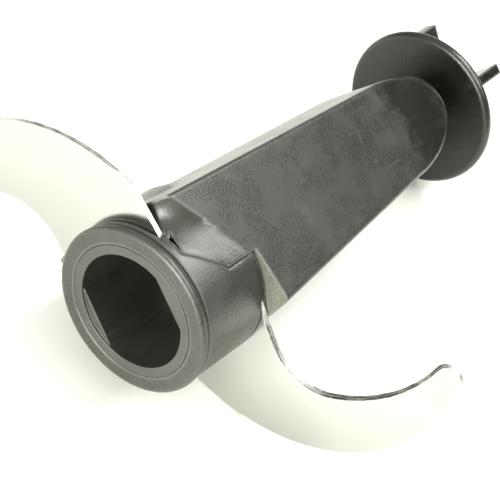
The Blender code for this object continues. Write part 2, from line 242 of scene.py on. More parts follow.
class StudioSettings(bpy.types.PropertyGroup):
    table_colour: bpy.props.FloatVectorProperty(
        name="Table colour", description="Colour of the pale table",
        subtype="COLOR", size=3, min=0.0, max=1.0, default=(0.93, 0.93, 0.88))
    room_light: bpy.props.FloatProperty(
        name="Room light", description="Strength of the even light of the room",
        min=0.0, default=1.0)
    key_power: bpy.props.FloatProperty(
        name="Key power", description="Power of the large soft light",
        subtype="POWER", unit="POWER", min=0.0, default=4.2)
    glint_power: bpy.props.FloatProperty(
        name="Glint power", description="Power of the small lights that shine back from the hub",
        subtype="POWER", unit="POWER", min=0.0, default=1.8)
    front_power: bpy.props.FloatProperty(
        name="Front power", description="Power of the low light that faces the hub's end",
        subtype="POWER", unit="POWER", min=0.0, default=7.0)


# Shared node building


def add_node(tree, kind, place=(0, 0), **values):
    """Node of a kind, with its properties set."""
    node = tree.nodes.new(kind)
    node.location = place
    for name, value in values.items():
        setattr(node, name, value)
    return node


def new_group(name, kind, inputs, outputs):
    """Node group with named sockets: (name, kind of value, default or None)."""
    group = bpy.data.node_groups.new(name, kind)
    for label, value, default in inputs:
        socket = group.interface.new_socket(label, in_out="INPUT", socket_type="NodeSocket" + value)
        if default is not None:
            socket.default_value = default
    for label, value in outputs:
        group.interface.new_socket(label, in_out="OUTPUT", socket_type="NodeSocket" + value)
    start = add_node(group, "NodeGroupInput", (-900, 0))
    end = add_node(group, "NodeGroupOutput", (900, 0))
    return group, start, end


def feed(tree, value, socket):
    """Give an input its value, a socket or a plain one."""
    if isinstance(value, bpy.types.NodeSocket):
        tree.links.new(value, socket)
    else:
        socket.default_value = value


def math_node(tree, operation, *operands, clamp=False):
    """Math node whose operands are sockets or plain numbers."""
    node = add_node(tree, "ShaderNodeMath", operation=operation, use_clamp=clamp)
    for value, socket in zip(operands, node.inputs):
        feed(tree, value, socket)
    return node.outputs[0]


def vector_math(tree, operation, *operands, output="Vector"):
    """Vector math node whose operands are sockets or plain vectors."""
    node = add_node(tree, "ShaderNodeVectorMath", operation=operation)
    for value, socket in zip(operands, node.inputs):
        feed(tree, value, socket)
    return node.outputs[output]


def noise(tree, vector, scale, detail=2.0, roughness=0.5):
    """Noise whose scale is a socket or a plain number."""
    node = add_node(tree, "ShaderNodeTexNoise")
    for name, value in (("Vector", vector), ("Scale", scale), ("Detail", detail), ("Roughness", roughness)):
        feed(tree, value, node.inputs[name])
    return node.outputs["Fac"]


def spread(tree, value, low, high, new_low=0.0, new_high=1.0):
    """Map a value's range to another, with soft ends."""
    node = add_node(tree, "ShaderNodeMapRange", interpolation_type="SMOOTHSTEP")
    for name, number in (("Value", value), ("From Min", low), ("From Max", high), ("To Min", new_low),
                         ("To Max", new_high)):
        feed(tree, number, node.inputs[name])
    return node.outputs["Result"]


def drawn_out_noise(group, vector, stretch, detail):
    """Noise stretched by three factors, each a socket."""
    factors = add_node(group, "ShaderNodeCombineXYZ")
    for value, socket in zip(stretch, factors.inputs):
        feed(group, value, socket)
    return noise(group, vector_math(group, "MULTIPLY", vector, factors.outputs["Vector"]), 1.0, detail, 0.6)


def mould_texture_group():
    """Grain, cloudy tone and rub patches of moulded plastic."""
    group, start, end = new_group(
        "mould_texture", "ShaderNodeTree",
        [("Vector", "Vector", None), ("Grain Scale", "Float", 2000.0),
         ("Cloud Scale", "Float", 60.0)],
        [("Height", "Float"), ("Tone", "Float"), ("Rub", "Float")])
    vector = start.outputs["Vector"]
    grain = noise(group, vector, start.outputs["Grain Scale"], 4.0, 0.7)
    cloud = noise(group, vector, start.outputs["Cloud Scale"], 4.0, 0.6)
    patches = noise(group, vector, 170.0, 3.0, 0.6)
    clouded = math_node(group, "MULTIPLY", spread(group, cloud, 0.3, 0.7), 0.55)
    tone = math_node(group, "MULTIPLY_ADD", spread(group, grain, 0.36, 0.64), 0.45, clouded)
    group.links.new(grain, end.inputs["Height"])
    group.links.new(tone, end.inputs["Tone"])
    group.links.new(spread(group, patches, 0.50, 0.70), end.inputs["Rub"])
    return group


def scuffs_group():
    """Fine scuffs drawn out along the spindle, gathered in patches."""
    group, start, end = new_group(
        "scuffs", "ShaderNodeTree",
        [("Vector", "Vector", None), ("Across", "Float", 1500.0),
         ("Along", "Float", 70.0)],
        [("Mask", "Float")])
    vector, across, along = start.outputs["Vector"], start.outputs["Across"], start.outputs["Along"]
    lines = spread(group, drawn_out_noise(group, vector, (across, across, along), 2.0), 0.60, 0.72)
    places = spread(group, noise(group, vector, 75.0, 2.0), 0.48, 0.66)
    group.links.new(math_node(group, "MULTIPLY", lines, places), end.inputs["Mask"])
    return group


def dust_group():
    """Sparse pale specks: one where a random cell is picked, near its middle."""
    group, start, end = new_group(
        "dust", "ShaderNodeTree",
        [("Vector", "Vector", None), ("Scale", "Float", 520.0),
         ("Amount", "Float", 0.012)],
        [("Mask", "Float")])
    cells = add_node(group, "ShaderNodeTexVoronoi")
    group.links.new(start.outputs["Vector"], cells.inputs["Vector"])
    group.links.new(start.outputs["Scale"], cells.inputs["Scale"])
    pick = add_node(group, "ShaderNodeSeparateColor")
    group.links.new(cells.outputs["Color"], pick.inputs["Color"])
    chosen = math_node(group, "LESS_THAN", pick.outputs["Red"], start.outputs["Amount"])
    near = spread(group, cells.outputs["Distance"], 0.05, 0.16, 1.0, 0.0)
    group.links.new(math_node(group, "MULTIPLY", chosen, near), end.inputs["Mask"])
    return group


def below_painted_shade_group():
    """Mask of the lower part of a moulding, which ends raggedly at a height; above it the colour is painted
    darker as shade.
    """
    group, start, end = new_group(
        "handled", "ShaderNodeTree",
        [("Vector", "Vector", None), ("Clean Height", "Float", PAINTED_SHADE_HEIGHT)],
        [("Mask", "Float")])
    vector = start.outputs["Vector"]
    axes = add_node(group, "ShaderNodeSeparateXYZ")
    group.links.new(vector, axes.inputs["Vector"])
    wander = noise(group, vector, 140.0, 3.0, 0.6)
    ragged = math_node(group, "MULTIPLY_ADD", wander, 0.012, axes.outputs["Z"])
    above = math_node(group, "SUBTRACT", ragged, start.outputs["Clean Height"])
    group.links.new(spread(group, above, 0.003, 0.010, 1.0, 0.0), end.inputs["Mask"])
    return group


def edge_mask_and_normal_group():
    """Mask of the edges: 1 where the surface turns within a small radius."""
    group, start, end = new_group(
        "worn_edge", "ShaderNodeTree",
        [("Radius", "Float", 0.0008), ("Strength", "Float", 4.0)],
        [("Mask", "Float"), ("Normal", "Vector")])
    soft = add_node(group, "ShaderNodeBevel", samples=6)
    group.links.new(start.outputs["Radius"], soft.inputs["Radius"])
    flat = add_node(group, "ShaderNodeNewGeometry")
    same = vector_math(group, "DOT_PRODUCT", soft.outputs["Normal"], flat.outputs["Normal"], output="Value")
    turn = math_node(group, "SUBTRACT", 1.0, same)
    mask = math_node(group, "MULTIPLY", turn, start.outputs["Strength"], clamp=True)
    group.links.new(mask, end.inputs["Mask"])
    group.links.new(soft.outputs["Normal"], end.inputs["Normal"])
    return group


def brushed_group():
    """Fine streaks of polishing, soft clouds, and coarser lines ground on the tips."""
    group, start, end = new_group(
        "brushed", "ShaderNodeTree",
        [("Vector", "Vector", None), ("Turn", "Float", BRUSH_TURN),
         ("Across", "Float", 5200.0), ("Along", "Float", 90.0),
         ("Tip Lines", "Float", 1400.0)],
        [("Streak", "Float"), ("Cloud", "Float"), ("Tip", "Float")])
    vector, along = start.outputs["Vector"], start.outputs["Along"]
    turned = add_node(group, "ShaderNodeVectorRotate", rotation_type="Z_AXIS")
    group.links.new(vector, turned.inputs["Vector"])
    group.links.new(start.outputs["Turn"], turned.inputs["Angle"])
    turned = turned.outputs["Vector"]
    across, coarse = start.outputs["Across"], start.outputs["Tip Lines"]
    group.links.new(drawn_out_noise(group, turned, (along, across, across), 3.0), end.inputs["Streak"])
    group.links.new(noise(group, vector, 45.0, 2.0, 0.5), end.inputs["Cloud"])

    # The wings are turned half round from each other, so one place without signs serves both tips.
    flat = vector_math(group, "MULTIPLY", vector_math(group, "ABSOLUTE", vector), (1.0, 1.0, 0.0))
    away = vector_math(group, "DISTANCE", flat, TIP_PLACE, output="Value")
    near = spread(group, away, 0.0045, 0.0095, 1.0, 0.0)
    lines = spread(group, drawn_out_noise(group, turned, (along, coarse, coarse), 0.0), 0.42, 0.58)
    group.links.new(math_node(group, "MULTIPLY", lines, near), end.inputs["Tip"])
    return group


def ground_group():
    """Streaks that grinding leaves along a bevel, which differ by height and change slowly along it, and
    patches of painted highlight.
    """
    group, start, end = new_group(
        "ground", "ShaderNodeTree",
        [("Vector", "Vector", None), ("Across", "Float", 6000.0),
         ("Along", "Float", 130.0)],
        [("Streak", "Float"), ("Patch", "Float")])
    vector, across, along = start.outputs["Vector"], start.outputs["Across"], start.outputs["Along"]
    streak = drawn_out_noise(group, vector, (along, along, across), 2.0)
    group.links.new(spread(group, streak, 0.38, 0.62), end.inputs["Streak"])
    group.links.new(spread(group, noise(group, vector, 260.0, 3.0, 0.7), 0.42, 0.60), end.inputs["Patch"])
    return group


def place_group(tree, group, **values):
    """Use of a group, with its inputs set by name."""
    node = add_node(tree, "ShaderNodeGroup")
    node.node_tree = group
    for name, value in values.items():
        node.inputs[name.replace("_", " ")].default_value = value
    return node


def blank_material(name, metallic):
    """Material with its tree, its shader and the object coordinates."""
    material = bpy.data.materials.new(name)
    material.use_nodes = True
    tree = material.node_tree
    shader = tree.nodes["Principled BSDF"]
    shader.inputs["Metallic"].default_value = metallic
    place = add_node(tree, "ShaderNodeTexCoord").outputs["Object"]
    return material, tree, shader, place


def mix_colour(tree, factor, first, second, blend="MIX"):
    """Mix two colours, each a socket or a plain colour."""
    node = add_node(tree, "ShaderNodeMix", data_type="RGBA", blend_type=blend)
    tree.links.new(factor, node.inputs["Factor"])
    for label, value in (("A", first), ("B", second)):
        socket = next(s for s in node.inputs if s.name == label and s.type == "RGBA")
        if isinstance(value, bpy.types.NodeSocket):
            tree.links.new(value, socket)
        else:
            socket.default_value = (*value, 1.0)
    return next(s for s in node.outputs if s.type == "RGBA")


def shade(colour, factor):
    """Colour made darker or lighter by a factor."""
    return tuple(factor * c for c in colour)


def layered(tree, base, layers):
    """Lay tints over a base colour, each by its mask and share."""
    for mask, share, tint in layers:
        base = mix_colour(tree, math_node(tree, "MULTIPLY", mask, share), base, tint)
    return base


def add_up(tree, start, terms):
    """A plain number plus shares of sockets."""
    total = start
    for socket, share in terms:
        total = math_node(tree, "MULTIPLY_ADD", socket, share, total)
    return total


def bumpy(tree, shader, height, strength, distance, edge):
    """Feed a height to the shader as bump, over the softened normal of the edges."""
    bump = add_node(tree, "ShaderNodeBump")
    bump.inputs["Strength"].default_value = strength
    bump.inputs["Distance"].default_value = distance
    tree.links.new(height, bump.inputs["Height"])
    tree.links.new(edge.outputs["Normal"], bump.inputs["Normal"])
    tree.links.new(bump.outputs["Normal"], shader.inputs["Normal"])


def plastic_material(name, colour, speckle, roughness, edge_radius):
    """Satin moulded plastic: grainy, cloudy, scuffed, with pale edges that are partly wear and partly
    painted highlight, a little dust, and painted shade above a height.
    """
    material, tree, shader, place = blank_material(name, 0.0)
    shader.inputs["Specular IOR Level"].default_value = 0.65
    texture = place_group(tree, shared_group("mould_texture"))
    scuffs = place_group(tree, shared_group("scuffs"))
    dust = place_group(tree, shared_group("dust"))
    edge = place_group(tree, shared_group("worn_edge"), Radius=edge_radius)
    handled = place_group(tree, shared_group("handled"))
    for node in (texture, scuffs, dust, handled):
        tree.links.new(place, node.inputs["Vector"])
    toned = mix_colour(tree, texture.outputs["Tone"], shade(colour, 0.7), shade(colour, 1.4))
    # Above the height the colour is painted darker, as shade towards the disc.
    toned_and_painted_shade = mix_colour(tree, handled.outputs["Mask"], shade(colour, 0.35), toned)
    # The pale edge tint is partly wear and partly a painted highlight where the rounding would catch the
    # light.
    coat = layered(tree, toned_and_painted_shade, ((texture.outputs["Rub"], 0.14, shade(colour, 2.2)),
                                 (scuffs.outputs["Mask"], 0.35, shade(colour, 3.2)),
                                 (edge.outputs["Mask"], 0.60, EDGE_WEAR_AND_HIGHLIGHT_TINT),
                                 (dust.outputs["Mask"], 0.5, DUST_TINT)))
    tree.links.new(coat, shader.inputs["Base Color"])
    rough = add_up(tree, roughness - 0.07, (
        (texture.outputs["Tone"], 0.12), (texture.outputs["Rub"], 0.05),
        (scuffs.outputs["Mask"], 0.10), (handled.outputs["Mask"], 0.08)))
    tree.links.new(rough, shader.inputs["Roughness"])
    bumpy(tree, shader, texture.outputs["Height"], speckle, SPECKLE_HEIGHT, edge)
    return material


def steel_material(name, colour, roughness):
    """Polished steel with fine streaks, cloudy gloss and ground tips."""
    material, tree, shader, place = blank_material(name, 1.0)
    brushed = place_group(tree, shared_group("brushed"))
    edge = place_group(tree, shared_group("worn_edge"), Radius=0.0001, Strength=2.0)
    tree.links.new(place, brushed.inputs["Vector"])
    toned = mix_colour(tree, brushed.outputs["Cloud"], shade(colour, 0.94), colour)
    coat = layered(tree, toned, ((brushed.outputs["Tip"], 0.16, shade(colour, 0.55)),))
    tree.links.new(coat, shader.inputs["Base Color"])
    rough = add_up(tree, roughness - 0.07, ((brushed.outputs["Streak"], 0.14),))
    tree.links.new(rough, shader.inputs["Roughness"])
    height = add_up(tree, 0.0, ((brushed.outputs["Streak"], 1.0), (brushed.outputs["Tip"], 2.0)))
    bumpy(tree, shader, height, 0.10, 0.00002, edge)
    return material


def ground_steel_material(name, colour):
    """Ground steel of a bevel, with dark and bright streaks along the edge, and patches painted brighter as
    highlight.
    """
    material, tree, shader, place = blank_material(name, 1.0)
    ground = place_group(tree, shared_group("ground"))
    edge = place_group(tree, shared_group("worn_edge"), Radius=0.00005, Strength=2.0)
    tree.links.new(place, ground.inputs["Vector"])
    toned = mix_colour(tree, ground.outputs["Streak"], shade(colour, 0.40), shade(colour, 1.30))
    # Painted highlight: patches of the bevel made brighter where it would catch the light.
    coat = layered(tree, toned, ((ground.outputs["Patch"], 0.85, shade(colour, 1.75)),))
    tree.links.new(coat, shader.inputs["Base Color"])
    tree.links.new(add_up(tree, 0.24, ((ground.outputs["Streak"], 0.16),)), shader.inputs["Roughness"])
    bumpy(tree, shader, ground.outputs["Streak"], 0.25, 0.00003, edge)
    return material


def shared_group(name):
    """A shader group, built once and found again by name."""
    makers = {"mould_texture": mould_texture_group, "scuffs": scuffs_group, "dust": dust_group,
              "handled": below_painted_shade_group, "worn_edge": edge_mask_and_normal_group, "brushed": brushed_group,
              "ground": ground_group}
    return bpy.data.node_groups.get(name) or makers[name]()


def finish_named(name):
    """The plastic or steel finish of that name, made on first use."""
    known = bpy.data.materials.get(name)
    if known:
        return known
    if name in PLASTICS:
        moulding = bpy.context.scene.blade_moulding
        setting, factor, speckle_share, roughness, edge_radius = PLASTICS[name]
        colour = shade(getattr(moulding, setting), factor)
        return plastic_material(name, colour, speckle_share * moulding.speckle, roughness, edge_radius)
    steel = bpy.context.scene.blade_steel
    if name == "ground_steel":
        return ground_steel_material(name, tuple(steel.colour))
    return steel_material(name, tuple(steel.colour), steel.roughness)


# Pieces


def linked(name, data):
    """Object made of some data and put in the scene."""
    thing = bpy.data.objects.new(name, data)
    bpy.context.scene.collection.objects.link(thing)
    return thing


def mesh_from(bm, name):
    """Plain mesh made of a bmesh, which is freed."""
    mesh = bpy.data.meshes.new(name)
    bm.to_mesh(mesh)
    bm.free()
    return mesh


def add_modifier(piece, label, kind, **values):
    """Modifier of a kind, with its properties set."""
    modifier = piece.modifiers.new(label, kind)
    for name, value in values.items():
        setattr(modifier, name, value)
    return modifier


def wedge_tool(corners, floor, reach):
    """Triangular cutter through the hub's wall: corners are degrees round and height."""
    bm = bmesh.new()
    loops = []
    for radius in (floor, reach):
        loop = []
        for degrees, height in corners:
            angle = math.radians(degrees)
            loop.append(bm.verts.new((radius * math.cos(angle), radius * math.sin(angle), height)))
        loops.append(loop)
    bm.faces.new(loops[0])
    bm.faces.new(loops[1])
    for i in range(len(corners)):
        j = (i + 1) % len(corners)
        bm.faces.new((loops[0][i], loops[0][j], loops[1][j], loops[1][i]))
    bmesh.ops.recalc_face_normals(bm, faces=bm.faces)
    return mesh_from(bm, "cutter")


def carve(mesh, tool):
    """Mesh with a cutter's shape taken out, worked out at the Boolean's scale."""
    pieces = []
    for name, data in (("carved", mesh), ("cutter", tool)):
        data.transform(Matrix.Scale(BOOLEAN_SCALE, 4))
        pieces.append(linked(name, data))
    add_modifier(pieces[0], "cut", "BOOLEAN", operation="DIFFERENCE", solver="EXACT", object=pieces[1])
    graph = bpy.context.evaluated_depsgraph_get()
    result = bpy.data.meshes.new_from_object(pieces[0].evaluated_get(graph))
    for piece in pieces:
        bpy.data.objects.remove(piece, do_unlink=True)
    result.transform(Matrix.Scale(1.0 / BOOLEAN_SCALE, 4))
    return result


def on_ground_edge(face):
    """Whether a face of a wing is one of its bevels or edge walls, which are ground."""
    return abs(face.normal.z) < GROUND_UPRIGHT


def under_block(face):
    """Whether a face is the block's underside, at the high step of the joint."""
    return (face.normal.z < UNDERSIDE_UPRIGHT
            and abs(face.calc_center_median().z - HIGH_JOINT) < UNDERSIDE_REACH)


def merged_mesh(node):
    """Copy of a node's mesh with its coinciding vertices joined."""
    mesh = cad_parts[node].data.copy()
    bm = bmesh.new()
    bm.from_mesh(mesh)
    bmesh.ops.remove_doubles(bm, verts=bm.verts, dist=MERGE_DISTANCE)
    bm.to_mesh(mesh)
    bm.free()
    return mesh


def give_finishes(mesh, finishes, takes_second):
    """Put the finishes on a mesh, and join level faces that share one."""
    mesh.materials.clear()
    for finish in finishes:
        mesh.materials.append(finish_named(finish))
    bm = bmesh.new()
    bm.from_mesh(mesh)
    for face in bm.faces:
        face.material_index = 1 if takes_second and takes_second(face) else 0
    bmesh.ops.dissolve_limit(bm, angle_limit=LEVEL_ANGLE, verts=bm.verts, edges=bm.edges,
                             delimit={"MATERIAL"})
    bm.to_mesh(mesh)
    bm.free()


def softened_copy(node, name, width, finishes, takes_second=None, notched=False):
    """Merged copy of a CAD node with softened edges, which then stands for it."""
    mesh = merged_mesh(node)
    if notched:
        mesh = carve(mesh, wedge_tool(NOTCH_CORNERS, NOTCH_FLOOR, NOTCH_REACH))
    mesh.name = name
    give_finishes(mesh, finishes, takes_second)
    piece = linked(name, mesh)
    mesh.shade_smooth()
    mesh.set_sharp_from_angle(angle=SMOOTH_ANGLE)
    if width > 0.0:
        add_modifier(piece, "softened edges", "BEVEL", width=width, segments=2, limit_method="ANGLE",
                     angle_limit=ROUNDED_ANGLE, use_clamp_overlap=True, harden_normals=True)
        add_modifier(piece, "slivers joined", "WELD", merge_threshold=SLIVER_DISTANCE)
    add_modifier(piece, "flat faces lead", "WEIGHTED_NORMAL", keep_sharp=True, weight=100)
    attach(piece, BODY)
    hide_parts(node)
    return piece


def wavy_bead_tree():
    """Geometry nodes: an uneven bead along a path, such as a burr or moulding flash."""
    tree, start, end = new_group(
        "wavy_bead", "GeometryNodeTree",
        [("Geometry", "Geometry", None), ("Radius", "Float", 0.0001),
         ("Ripple", "Float", 0.5), ("Ripple Scale", "Float", 900.0),
         ("Step", "Float", 0.0003), ("Seed", "Int", 7),
         ("Material", "Material", None)],
        [("Geometry", "Geometry")])
    links = tree.links
    resample = add_node(tree, "GeometryNodeResampleCurve", mode="LENGTH")
    links.new(start.outputs["Geometry"], resample.inputs["Curve"])
    links.new(start.outputs["Step"], resample.inputs["Length"])
    wave = add_node(tree, "ShaderNodeTexNoise", noise_dimensions="4D")
    links.new(add_node(tree, "GeometryNodeInputPosition").outputs[0], wave.inputs["Vector"])
    links.new(start.outputs["Ripple Scale"], wave.inputs["Scale"])
    links.new(start.outputs["Seed"], wave.inputs["W"])
    swing = math_node(tree, "MULTIPLY_ADD", wave.outputs["Fac"], 3.0, -1.5)
    share = math_node(tree, "MULTIPLY_ADD", swing, start.outputs["Ripple"], 1.0)
    limited = math_node(tree, "MAXIMUM", share, 0.12)
    radius = math_node(tree, "MULTIPLY", limited, start.outputs["Radius"])
    profile = add_node(tree, "GeometryNodeCurvePrimitiveCircle")
    profile.inputs["Resolution"].default_value = 6
    profile.inputs["Radius"].default_value = 1.0
    sweep = add_node(tree, "GeometryNodeCurveToMesh")
    sweep.inputs["Fill Caps"].default_value = True
    links.new(resample.outputs["Curve"], sweep.inputs["Curve"])
    links.new(profile.outputs["Curve"], sweep.inputs["Profile Curve"])
    links.new(radius, sweep.inputs["Scale"])
    finish_tree(tree, sweep.outputs["Mesh"], start, end)
    return tree


def chip_scatter_tree():
    """Geometry nodes: small flat chips strewn over a surface."""
    tree, start, end = new_group(
        "chip_scatter", "GeometryNodeTree",
        [("Geometry", "Geometry", None), ("Density", "Float", 3000000.0),
         ("Smallest", "Float", 0.00008), ("Largest", "Float", 0.00026),
         ("Seed", "Int", 7), ("Material", "Material", None)],
        [("Geometry", "Geometry")])
    links = tree.links
    strewn = add_node(tree, "GeometryNodeDistributePointsOnFaces", distribute_method="RANDOM")
    links.new(start.outputs["Geometry"], strewn.inputs["Mesh"])
    links.new(start.outputs["Density"], strewn.inputs["Density"])
    links.new(start.outputs["Seed"], strewn.inputs["Seed"])
    chip = add_node(tree, "GeometryNodeMeshIcoSphere")
    chip.inputs["Subdivisions"].default_value = 1
    chip.inputs["Radius"].default_value = 1.0
    flat = add_node(tree, "GeometryNodeTransform")
    flat.inputs["Scale"].default_value = (1.0, 0.7, 0.45)
    links.new(chip.outputs["Mesh"], flat.inputs["Geometry"])
    spin = add_node(tree, "FunctionNodeRandomValue", data_type="FLOAT_VECTOR")
    vectors = [socket for socket in spin.inputs if socket.type == "VECTOR"]
    vectors[0].default_value = (-0.5, -0.5, -math.pi)
    vectors[1].default_value = (0.5, 0.5, math.pi)
    size = add_node(tree, "FunctionNodeRandomValue", data_type="FLOAT")
    numbers = [socket for socket in size.inputs if socket.type == "VALUE" and socket.enabled]
    links.new(start.outputs["Smallest"], numbers[0])
    links.new(start.outputs["Largest"], numbers[1])
    for node in (spin, size):
        links.new(start.outputs["Seed"], node.inputs["Seed"])
    tilt = add_node(tree, "FunctionNodeRotateRotation", rotation_space="LOCAL")
    links.new(strewn.outputs["Rotation"], tilt.inputs["Rotation"])
    links.new(next(s for s in spin.outputs if s.type == "VECTOR"), tilt.inputs["Rotate By"])
    placed = add_node(tree, "GeometryNodeInstanceOnPoints")
    links.new(strewn.outputs["Points"], placed.inputs["Points"])
    links.new(flat.outputs["Geometry"], placed.inputs["Instance"])
    links.new(tilt.outputs["Rotation"], placed.inputs["Rotation"])
    links.new(next(s for s in size.outputs if s.type == "VALUE" and s.enabled), placed.inputs["Scale"])
    finish_tree(tree, placed.outputs["Instances"], start, end)
    return tree


def finish_tree(tree, geometry, start, end):
    """Realize what a tree made, give it its material and put it out."""
    real = add_node(tree, "GeometryNodeRealizeInstances")
    tree.links.new(geometry, real.inputs["Geometry"])
    dressed = add_node(tree, "GeometryNodeSetMaterial")
    tree.links.new(real.outputs["Geometry"], dressed.inputs["Geometry"])
    tree.links.new(start.outputs["Material"], dressed.inputs["Material"])
    tree.links.new(dressed.outputs["Geometry"], end.inputs["Geometry"])


def set_inputs(modifier, values):
    """Set a nodes modifier's inputs by their sockets' identifiers."""
    for item in modifier.node_group.interface.items_tree:
        if item.item_type == "SOCKET" and item.in_out == "INPUT" and item.name in values:
            modifier[item.identifier] = values[item.name]


def made_by_nodes(name, guide_data, tree_name, maker, values):
    """Run a geometry-nodes tree on a guide and keep the result as one plain mesh."""
    guide = linked(name + "_guide", guide_data)
    tree = bpy.data.node_groups.get(tree_name) or maker()
    modifier = add_modifier(guide, "nodes", "NODES", node_group=tree)
    set_inputs(modifier, values)
    graph = bpy.context.evaluated_depsgraph_get()
    mesh = bpy.data.meshes.new_from_object(guide.evaluated_get(graph))
    bpy.data.objects.remove(guide, do_unlink=True)
    mesh.shade_smooth()
    piece = linked(name, mesh)
    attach(piece, BODY)
    return piece


def bead(name, paths, values):
    """Uneven bead along each path."""
    curve = bpy.data.curves.new(name, "CURVE")
    curve.dimensions = "3D"
    for points, closed in paths:
        line = curve.splines.new("POLY")
        line.points.add(len(points) - 1)
        for target, point in zip(line.points, points):
            target.co = (*point, 1.0)
        line.use_cyclic_u = closed
    return made_by_nodes(name, curve, "wavy_bead", wavy_bead_tree, values)


def chips_on_hub(name, patch, values):
    """Chips strewn over a patch of the hub's wall, given along the flat face and by height."""
    (left, right), (low, high) = patch
    bm = bmesh.new()
    rows = []
    for j in range(PATCH_STEPS + 1):
        height = low + (high - low) * j / PATCH_STEPS
        rows.append([bm.verts.new(on_hub(left + (right - left) * i / PATCH_STEPS, height, 1.0))
                     for i in range(PATCH_STEPS + 1)])
    for lower, upper in zip(rows, rows[1:]):
        for i in range(PATCH_STEPS):
            bm.faces.new((lower[i], lower[i + 1], upper[i + 1], upper[i]))
    return made_by_nodes(name, mesh_from(bm, name), "chip_scatter", chip_scatter_tree, values)


def cutting_edge_path(node, turned_round):
    """The cutting edge of a wing, from the hub to the tip, read from its solid's outline."""
    low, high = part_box(node)
    side = -1.0 if turned_round else 1.0
    found = set()
    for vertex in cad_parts[node].data.vertices:
        plan = Vector((side * vertex.co.x, side * vertex.co.y))
        inside = (plan - BACK_CENTRE).length < BACK_RADIUS - CUTTING_MARGIN
        if vertex.co.z > high.z - LEVEL_TOLERANCE and plan.length > CUTTING_START and inside:
            found.add((round(plan.x, 6), round(plan.y, 6)))

    def turn_back(plan):
        return -(math.atan2(plan[1] - CUTTING_MIDDLE.y, plan[0] - CUTTING_MIDDLE.x) % (2 * math.pi))

    return [(side * x, side * y, low.z + BURR_HEIGHT) for x, y in sorted(found, key=turn_back)]


def on_hub(across, height, side):
    """Point on the hub's wall, by its distance along the flat face and its height."""
    radius = HUB_RADIUS + HUB_FLARE * height / HIGH_JOINT
    along = math.sqrt(max(0.0, radius ** 2 - across ** 2))
    return Matrix.Rotation(JOINT_TURN, 3, "Z") @ Vector((side * along, across, height))


def joint_path():
    """The joint between the mouldings, once round the hub."""
    def height_at(across):
        if across < RAMP_FOOT:
            return LOW_JOINT
        if across >= RAMP_TOP:
            return HIGH_JOINT
        share = (across - RAMP_FOOT) / (RAMP_TOP - RAMP_FOOT)
        return LOW_JOINT + share * (RAMP_TOP_HEIGHT - LOW_JOINT)

    points = []
    for side in (1.0, -1.0):
        run = []
        for i in range(JOINT_STEPS + 1):
            angle = -math.pi / 2 + math.pi * i / JOINT_STEPS
            across = HUB_RADIUS * math.sin(angle)
            run.append(on_hub(across, height_at(across), side))
        points += run if side > 0 else run[::-1]
    return points


def torn_flash(name, seed):
    """Slivers of torn flash that stand off the hub at the mouth of the low wing's slot."""
    draw = random.Random(seed)
    upward = Vector((0.0, 0.0, 1.0))
    bm = bmesh.new()
    for _ in range(SLIVER_COUNT):
        angle = math.radians(draw.uniform(*SLIVER_ANGLES))
        height = draw.uniform(*SLIVER_HEIGHTS)
        outward = Vector((math.cos(angle), math.sin(angle), 0.0))
        round_hub = Vector((-outward.y, outward.x, 0.0))
        foot = (HUB_RADIUS - SLIVER_SINK) * outward + height * upward
        way = Vector()
        for axis, limits in zip((outward, round_hub, upward), SLIVER_WAYS):
            way += draw.uniform(*limits) * axis
        end = foot + draw.uniform(*SLIVER_LENGTHS) * way.normalized() + SLIVER_LEAN * outward
        wide = SLIVER_HALF_WIDTH * (round_hub + draw.uniform(*SLIVER_TWISTS) * upward)
        thick = SLIVER_HALF_THICKNESS * outward.cross(wide).normalized()
        base, tip = [[bm.verts.new(middle + share * (a * wide + b * thick)) for a, b in SQUARE]
                     for middle, share in ((foot, 1.0), (end, SLIVER_TIP))]
        bm.faces.new(base)
        bm.faces.new(tip)
        for k in range(4):
            bm.faces.new((base[k], base[(k + 1) % 4], tip[(k + 1) % 4], tip[k]))
    bmesh.ops.recalc_face_normals(bm, faces=bm.faces)
    mesh = mesh_from(bm, name)
    # Pale for stress whitening and partly a painted reflection of the slivers' gloss.
    mesh.materials.append(finish_named("torn_plastic"))
    piece = linked(name, mesh)
    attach(piece, BODY)
    return piece


# Studio


def resting_basis():
    """Axes of the table: right and forward as the camera sees them, and up."""
    forward = -CAMERA_BACK - (-CAMERA_BACK).dot(TABLE_UP) * TABLE_UP
    forward.normalize()
    return forward.cross(TABLE_UP), forward, TABLE_UP


def along_table(offset):
    """Vector given by its parts along the table's right, forward and up axes."""
    right, forward, up = resting_basis()
    return offset[0] * right + offset[1] * forward + offset[2] * up


def soft_light(name, offset, size, power, colour, target):
    """Round area light at an offset from a spot, aimed at that spot."""
    light = bpy.data.lights.new(name, "AREA")
    light.shape = "DISK"
    light.size = size
    light.energy = power
    light.color = colour
    lamp = linked(name, light)
    lamp.location = target + along_table(offset)
    lamp.rotation_mode = "QUATERNION"
    lamp.rotation_quaternion = (-along_table(offset)).to_track_quat("-Z", "Y")
    return lamp


def facing(tree, direction):
    """How much a world direction faces a given one: their dot product."""
    seen = add_node(tree, "ShaderNodeTexCoord").outputs["Generated"]
    return vector_math(tree, "DOT_PRODUCT", seen, direction, output="Value")


def pale_room(strength):
    """World that is brightest overhead, dimmer at the horizon and dark on one far side."""
    world = bpy.data.worlds.new("pale_room")
    world.use_nodes = True
    tree = world.node_tree
    sky = tree.nodes["Background"]
    sky.inputs["Color"].default_value = ROOM_COLOUR
    rise = spread(tree, facing(tree, TABLE_UP), 0.45, 0.95, HORIZON_SHARE * strength, strength)
    dim = spread(tree, facing(tree, along_table(DARK_SIDE).normalized()), 0.88, 0.99, 1.0, DARK_SHARE)
    tree.links.new(math_node(tree, "MULTIPLY", rise, dim), sky.inputs["Strength"])
    return world


